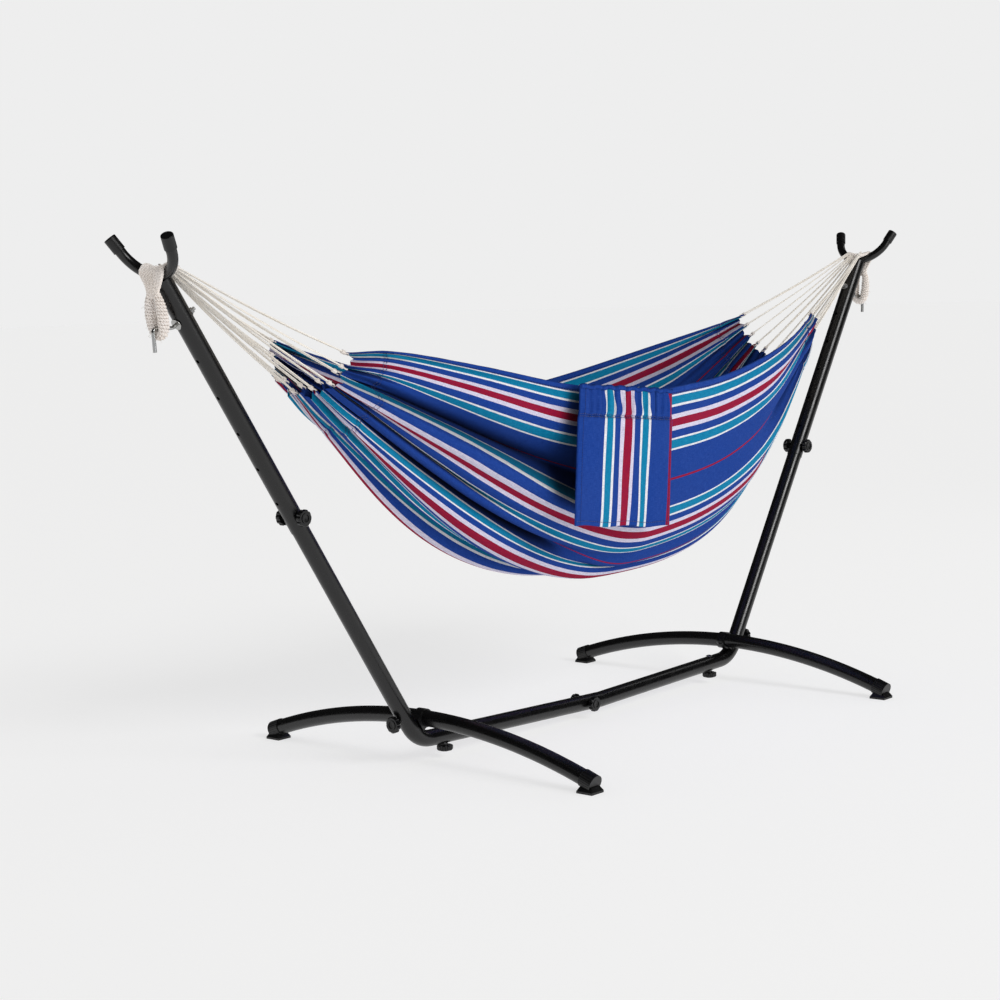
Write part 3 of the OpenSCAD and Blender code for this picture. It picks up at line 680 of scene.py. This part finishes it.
# ---------------------------------------------------------------- pocket
def pocket_pieces():
    width = 0.380
    x0 = -0.349
    slant = math.tan(math.radians(1.96))
    y0 = -0.2645
    drop = 0.330
    tau = 2 * math.pi

    def at(fx, fz, out):
        """fx along the selvage, fz up from the foot (1 is the mouth), out away from the bed."""
        x = x0 + width * fx
        top = float(top_z(np.array(x0))) * (1 - fx) + float(top_z(np.array(x0 + width))) * fx - 0.002
        z = top - drop * (1.0 - fz) + 0.013 * (fx - 0.35) * (0.4 + 0.6 * fz)
        return np.array([x - 0.028 * (1.0 - fz), y0 + slant * x - out, z])

    nx, nz = 150, 130
    casing = 1.0 - 0.070 / drop
    verts, uv = [], []
    rng = np.random.default_rng(5)
    ph = rng.uniform(0, 2 * math.pi, 10)
    for face in (0, 1):
        for i in range(nz + 1):
            fz = i / nz
            gather = 1.0 / (1.0 + math.exp(-(fz - casing) * 90.0))
            seam = math.exp(-((fz - casing) / 0.010) ** 2)
            for k in range(nx + 1):
                fx = k / nx
                side = 1.0 - abs(2 * fx - 1) ** 14
                foot = 1.0 - (1.0 - fz) ** 16
                belly = side * foot * (0.35 + 0.65 * math.sin(math.pi * min(1.0, fz * 0.9)))
                if face == 0:
                    out = 0.0080 + 0.0075 * belly
                    waves = (0.0026 * math.sin(tau * 15.5 * fx + ph[0] + 1.6 * math.sin(7 * fz + ph[1]))
                             + 0.0014 * math.sin(tau * 27 * fx + ph[2]))
                    out += side * (gather * waves - 0.0028 * seam)
                    out += side * (1 - gather) * (0.0016 * math.sin(tau * 3.2 * fx + ph[3] + 2.2 * fz)
                                                  + 0.0011 * math.sin(tau * (5.1 * fx + 0.8 * fz) + ph[4]))
                    out += 0.0012 * math.exp(-((fz - 1.0) / 0.02) ** 2)
                else:
                    out = 0.0042 - 0.0008 * belly
                pull = -0.0042 * gather * (2 * fx - 1)
                p = at(fx, fz, out)
                p[0] += (pull + 0.0016 * gather * side * math.sin(tau * 9 * fx + ph[5])
                         + 0.0022 * math.sin(6.0 * fz + ph[6]) * side)
                p[2] += (0.0022 * math.sin(tau * 2.3 * fx + ph[7]) * (1 - fz) ** 2
                         + 0.0016 * gather * math.sin(tau * 8 * fx + ph[8]))
                verts.append(p)
                slip = gather * (0.0085 * max(0.0, fz - casing) / (1.0 - casing) - 0.0030
                                 + 0.0012 * math.sin(38.0 * fz + 9.0 * fx))
                uv.append((POCKET_STRIPES * (0.002 + 0.996 * fx) + slip * side, drop * fz))
    faces = []
    stride = nx + 1
    half = (nz + 1) * stride
    for face in (0, 1):
        for i in range(nz):
            for k in range(nx):
                a = face * half + i * stride + k
                quad = (a, a + 1, a + stride + 1, a + stride)
                faces.append(quad if face == 0 else quad[::-1])
    for i in range(nz):
        for k in (0, nx):
            a, b = i * stride + k, (i + 1) * stride + k
            quad = (a, b, b + half, a + half)
            faces.append(quad if k == 0 else quad[::-1])
    for k in range(nx):
        faces.append((k + 1, k, k + half, k + 1 + half))
    pouch = make_mesh("pocket_cloth_pouch", verts, faces, POCKET_CLOTH, uv)
    solid = pouch.modifiers.new("thickness", "SOLIDIFY")
    solid.thickness = CLOTH_THICK
    solid.offset = 0.0
    trim = Soup()
    grid = np.array(verts[:half]).reshape(nz + 1, nx + 1, 3)
    out = np.array([0.0, -0.0013, 0.0])
    row = int(round(casing * nz))
    for line in (grid[row - 1], grid[row + 1], grid[:, 5], grid[:, nx - 5], grid[4]):
        stitches(trim, line + out, 0.0045, 0.0022, 0.0005)
    thread = trim.object("pocket_stitching", THREAD)
    band = Soup()
    rows = []
    for k in range(nx + 1):
        p = grid[nz, k]
        ring = []
        for q in range(10):
            a = 2 * math.pi * q / 10
            ring.append(p + np.array([0.0, -0.0022 * math.sin(a) - 0.0004, 0.0058 * math.cos(a) - 0.0046]))
        rows.append(ring)
    hem_strip(band, rows)
    hem = band.object("pocket_hem", HEM)
    return pouch, thread, hem


pouch, pocket_thread, pocket_hem = pocket_pieces()
for piece in (pouch, pocket_thread, pocket_hem):
    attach(piece, "hammock")
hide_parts("pocket")


# ---------------------------------------------------------------- suspension cords
CORDS = 13
SWING_Z = 1.166


def lead(v):
    """Where a cord leaves the rope on the fork; v runs from -1 to 1 across the bundle."""
    return np.array([1.317, 0.0240 * v, SWING_Z - 0.012 + 0.0150 * abs(v)])


def cords(side):
    s = SIDES[side]
    rng = np.random.default_rng(3 if s > 0 else 4)
    fan, knots = Soup(), Soup()
    for i in range(CORDS):
        v = 2.0 * i / (CORDS - 1) - 1.0
        w = min(max(i / (CORDS - 1.0), 0.006), 0.994)
        end = on_bed(s * HALF, w)
        end = np.array([abs(end[0]), end[1], end[2]])
        start = lead(v) + np.array([0.0, 0.0, 0.0012 * rng.standard_normal()])
        axis = (start - end) / np.linalg.norm(start - end)
        cross = np.cross(axis, np.array([0.0, 0.0, 1.0]))
        cross /= np.linalg.norm(cross)
        up = np.cross(cross, axis)
        tilt = rng.uniform(-0.7, 0.7)
        wide = math.cos(tilt) * cross + math.sin(tilt) * up
        inner = end + axis * 0.022
        for k in (-1, 1):
            sag = np.array([0.0, 0.0, -0.0035 - 0.0035 * rng.random()])
            gap = 0.0022
            path = smooth_path([end + axis * 0.004 + wide * k * 0.0024, inner + wide * k * 0.0022,
                                inner + (start - inner) * 0.3 + wide * k * gap + sag * 0.8,
                                inner + (start - inner) * 0.65 + wide * k * gap + sag * 0.9,
                                start + wide * k * 0.0015, start + axis * 0.004 + wide * k * 0.0015], 60)
            fan.twisted(flip(path, s), 0.00092, 0.00105, 3, 0.014, rng.uniform(0, 6), 5, 0.0046)
        # the cord passes through the casing in a small ring and is whipped just outside it
        ring = [end - axis * 0.0045 + 0.0048 * (math.cos(q) * axis + math.sin(q) * wide)
                for q in np.linspace(0.0, 2.0 * math.pi, 25)]
        knots.tube(flip(ring, s), 0.0017, 8, False)
        turns = 3.5
        coil = [end + axis * (0.0025 + 0.0085 * q)
                + 0.0034 * (math.cos(2 * math.pi * turns * q) * 1.25 * wide
                            + math.sin(2 * math.pi * turns * q) * np.cross(axis, wide))
                for q in np.linspace(0.0, 1.0, 60)]
        knots.tube(flip(coil, s), 0.0015, 7)
        knots.tube(flip([end + axis * 0.002, end + axis * 0.012], s), 0.0029, 8)
    a = fan.object("cord_fan_" + side, CORD)
    b = knots.object("cord_loops_" + side, ROPE)
    for piece in (a, b):
        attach(piece, "hammock")
    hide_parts("cords_" + side)


for side in SIDES:
    cords(side)


# ---------------------------------------------------------------- rope ends on the stand
FORK_BEND = 0.082
HOOK_CREST = float(arm_point(1.199, 0.031)[2]) - 0.010 * (1.0 - math.cos(LEAN))


def rope_end(side):
    """Strands over the fork that gather into a neck and a wound loop caught under the hook."""
    s = SIDES[side]
    rng = np.random.default_rng(8 if s > 0 else 9)
    crotch_z = float(arm_point(1.305)[2])
    strands, wraps = Soup(), Soup()
    for i in range(CORDS):
        v = 2.0 * i / (CORDS - 1) - 1.0
        y = 0.0335 * v
        rise = FORK_BEND - math.sqrt(FORK_BEND ** 2 - y * y)
        mid = arm_point(1.305 + rise) + np.array([0.0, y, 0.0])
        r = 0.0115 + 0.0034 + 0.0014 * rng.random()
        start = lead(v)
        pts = [start + np.array([-0.003, 0.0, -0.001]), (start + mid + np.array([-0.013, 0.0, 0.007])) / 2]
        for a in np.radians([128, 95, 60, 25, -5]):
            pts.append(mid + r * np.array([math.cos(a), 0.0, math.sin(a)]))
        sway = 0.0016 * math.sin(i * 2.4)
        pts.append(np.array([1.3640 + sway, y * 0.62, crotch_z - 0.020]))
        pts.append(np.array([1.3640 - sway, y * 0.44, crotch_z - 0.032]))
        pts.append(np.array([1.3630 + sway, y * 0.42, crotch_z - 0.046]))
        strands.twisted(flip(smooth_path(pts, 66), s), 0.0019, 0.0024, 3, 0.022, rng.uniform(0, 6), 6, 0.0020)
    # two wound legs hang from the neck, and their bend lies under the hook
    low = HOOK_CREST - 0.001
    leg = [np.array([1.3640, 0.0065, crotch_z - 0.018]), np.array([1.3635, 0.0085, crotch_z - 0.032]),
           np.array([1.3610, 0.0148, crotch_z - 0.052]), np.array([1.3565, 0.0178, crotch_z - 0.080]),
           np.array([1.3530, 0.0162, low + 0.004]), np.array([1.3520, 0.0124, low - 0.0085]),
           np.array([1.3520, 0.0045, low - 0.0135])]
    path = [p * np.array([1.0, -1.0, 1.0]) for p in leg] + leg[::-1]
    loop = resample(smooth_path(path, 150), 0.0008)
    run = np.concatenate([[0.0], np.cumsum(np.linalg.norm(np.diff(loop, axis=0), axis=1))])
    t = run / run[-1]
    girth = np.interp(t, [0.0, 0.08, 0.20, 0.33, 0.44, 0.5, 0.56, 0.67, 0.80, 0.92, 1.0],
                      np.array([5.0, 7.4, 11.2, 12.8, 11.2, 10.0, 11.4, 13.4, 12.2, 7.6, 5.0]) / 1000.0)
    strands.tube(flip(loop, s), girth - 0.0042, 14)
    _, a, b = frames_along(loop)
    for k in range(2):
        turn = 2 * math.pi * (run / 0.0136 + k / 2.0)
        r = girth - 0.0034 + 0.0004 * np.sin(run * 230.0 + k)
        coil = loop + r[:, None] * (np.cos(turn)[:, None] * a + np.sin(turn)[:, None] * b)
        wraps.twisted(flip(coil, s), 0.0017, 0.0021, 2, 0.011, 0.0, 6, 0.0013)
    # loose ends of the whipping and a few stray fibres
    for k in range(16):
        at = loop[int(rng.uniform(0.12, 0.88) * len(loop))]
        way = np.array([rng.uniform(0.2, 1.0), rng.uniform(-1.0, 1.0), rng.uniform(-0.9, 0.3)])
        way /= np.linalg.norm(way)
        hang = np.array([0, 0, -0.003 * rng.random()])
        tip = [at + way * 0.0105, at + way * 0.0145, at + way * 0.018 + hang]
        wraps.tube(flip(smooth_path(tip, 6), s), 0.00032, 4)
    one = strands.object("rope_strands_" + side, ROPE)
    two = wraps.object("rope_wrapping_" + side, ROPE)
    for piece in (one, two):
        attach(piece, "stand")
    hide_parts("rope_eye_" + side)


for side in SIDES:
    rope_end(side)


# ---------------------------------------------------------------- finishes on the CAD parts
SLOT_MATERIAL = {"powder_coat": POWDER, "cap_plastic": CAP, "knob_plastic": KNOB, "zinc_steel": ZINC,
                 "rope": ROPE, "striped_cloth": CLOTH, "pocket_cloth": POCKET_CLOTH}
for part in frame["record"]["subparts"]:
    node = frame["nodes"].get(part["node"])
    if node is not None:
        for slot in node.material_slots:
            slot.material = SLOT_MATERIAL[part["material_slot"]]


# ---------------------------------------------------------------- floor and light
FLOOR_GLOW = 0.632
BACKGROUND = (0.855, 0.855, 0.855, 1.0)
GLOSSY_WORLD = 0.04


def stage():
    """The plain pale floor, the studio world and its three lamps."""
    n = Nodes("floor")
    mottle = n.spread(n.noise(n.place(), 3.0, 3.0), 0.0, 0.05)
    n.link(n.mix(mottle, (0.42, 0.42, 0.42, 1.0), (0.405, 0.405, 0.41, 1.0)), n.bsdf.inputs["Base Color"])
    n.bsdf.inputs["Emission Color"].default_value = (1.0, 1.0, 1.0, 1.0)
    n.bsdf.inputs["Emission Strength"].default_value = FLOOR_GLOW
    n.bsdf.inputs["Roughness"].default_value = 1.0
    n.bsdf.inputs["Specular IOR Level"].default_value = 0.0
    size = 60.0
    floor = make_mesh("floor", [(-size, -size, 0), (size, -size, 0), (size, size, 0), (-size, size, 0)],
                      [(0, 1, 2, 3)], n.mat, smooth=False)
    # the camera sees an even pale background, reflections a dim one, and the cloth is lit by a soft ring
    world = bpy.data.worlds.new("studio")
    bpy.context.scene.world = world
    world.use_nodes = True
    tree = world.node_tree
    tree.nodes.clear()
    out = tree.nodes.new("ShaderNodeOutputWorld")
    pick = tree.nodes.new("ShaderNodeMixShader")
    rays = tree.nodes.new("ShaderNodeLightPath")
    seen = tree.nodes.new("ShaderNodeBackground")
    lit = tree.nodes.new("ShaderNodeBackground")
    seen.inputs[0].default_value = BACKGROUND
    lit.inputs[0].default_value = (1.0, 0.995, 0.985, 1.0)
    # the ring is bright round the horizon and dim overhead
    at = tree.nodes.new("ShaderNodeTexCoord")
    height = tree.nodes.new("ShaderNodeSeparateXYZ")
    tree.links.new(at.outputs["Generated"], height.inputs[0])
    ring = tree.nodes.new("ShaderNodeMapRange")
    ring.interpolation_type = "SMOOTHSTEP"
    tree.links.new(height.outputs[2], ring.inputs[0])
    for i, v in enumerate((0.12, 0.75, 0.88, 0.20)):
        ring.inputs[i + 1].default_value = v
    tree.links.new(ring.outputs[0], lit.inputs[1])
    dim = tree.nodes.new("ShaderNodeBackground")
    dim.inputs[1].default_value = GLOSSY_WORLD
    soft = tree.nodes.new("ShaderNodeMixShader")
    tree.links.new(rays.outputs["Is Glossy Ray"], soft.inputs[0])
    tree.links.new(lit.outputs[0], soft.inputs[1])
    tree.links.new(dim.outputs[0], soft.inputs[2])
    tree.links.new(rays.outputs["Is Camera Ray"], pick.inputs[0])
    tree.links.new(soft.outputs[0], pick.inputs[1])
    tree.links.new(seen.outputs[0], pick.inputs[2])
    tree.links.new(pick.outputs[0], out.inputs[0])
    sun = bpy.data.lights.new("key", "SUN")
    sun.energy = 1.05
    sun.angle = math.radians(22.0)
    lamp = bpy.data.objects.new("key", sun)
    bpy.context.scene.collection.objects.link(lamp)
    lamp.rotation_euler = Vector((-0.10, -1.0, 0.62)).to_track_quat("Z", "Y").to_euler()
    for name, way, wide, tall, power in (("strip", (0.10, -1.0, 0.26), 0.7, 3.2, 34.0),
                                         ("rim", (1.0, -0.15, 0.45), 0.5, 2.8, 6.0)):
        box = bpy.data.lights.new(name, "AREA")
        box.shape, box.size, box.size_y, box.energy = "RECTANGLE", wide, tall, power
        lamp = bpy.data.objects.new(name, box)
        bpy.context.scene.collection.objects.link(lamp)
        way = Vector(way).normalized()
        lamp.location = Vector((0.0, 0.0, 0.7)) + way * 5.0
        lamp.rotation_euler = way.to_track_quat("Z", "Y").to_euler()
    bpy.context.scene.view_settings.view_transform = "Standard"


stage()
